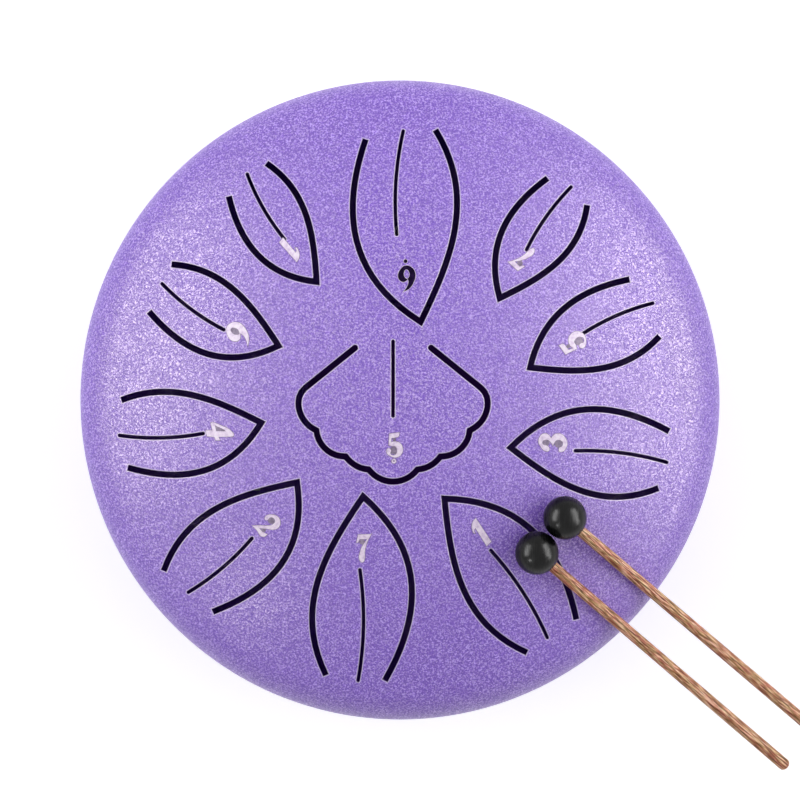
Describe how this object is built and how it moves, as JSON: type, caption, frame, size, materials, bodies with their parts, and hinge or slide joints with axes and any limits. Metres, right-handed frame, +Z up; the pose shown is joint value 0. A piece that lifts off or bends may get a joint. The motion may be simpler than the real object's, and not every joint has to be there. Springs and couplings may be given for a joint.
{
  "type": "tongue drum",
  "caption": "Steel tongue drum: a domed shell with leaf-shaped tongues cut round a fan-shaped one, over a footed bowl with a sound hole, and two ball mallets lying on it.",
  "frame": {"origin": "on the drum's axis, on the surface that the feet stand on", "axes": "+Z up along the drum's axis; +Y towards the top of the tongue pattern as the picture shows it, +X towards its right"},
  "size_m": [0.3496, 0.3265, 0.1632],
  "materials": {
    "powder_coat": "satin purple powder coat with a fine leathery grain",
    "foot_rubber": "matt black rubber",
    "zinc_steel": "zinc plated",
    "mallet_rubber": "semi-gloss black rubber",
    "handle_wood": "streaked reddish brown wood, satin",
    "number_foil": "bright foil sticker"
  },
  "bodies": {
    "drum": {"upper_shell": "powder_coat", "lower_shell": "powder_coat", "foot_1": "foot_rubber", "foot_2": "foot_rubber", "foot_3": "foot_rubber", "foot_washer_1": "zinc_steel", "foot_washer_2": "zinc_steel", "foot_washer_3": "zinc_steel", "foot_screw_1": "zinc_steel", "foot_screw_2": "zinc_steel", "foot_screw_3": "zinc_steel", "foot_nut_1": "zinc_steel", "foot_nut_2": "zinc_steel", "foot_nut_3": "zinc_steel"},
    "mallet_1": {"mallet_head_1": "mallet_rubber", "mallet_handle_1": "handle_wood"},
    "mallet_2": {"mallet_head_2": "mallet_rubber", "mallet_handle_2": "handle_wood"}
  },
  "joints": [
    {"name": "mallet_1_lift", "type": "slide", "parent": "drum", "child": "mallet_1", "axis": [0, 0, 1], "range_m": [0, 0.12]},
    {"name": "mallet_2_lift", "type": "slide", "parent": "drum", "child": "mallet_2", "axis": [0, 0, 1], "range_m": [0, 0.12]}
  ]
}
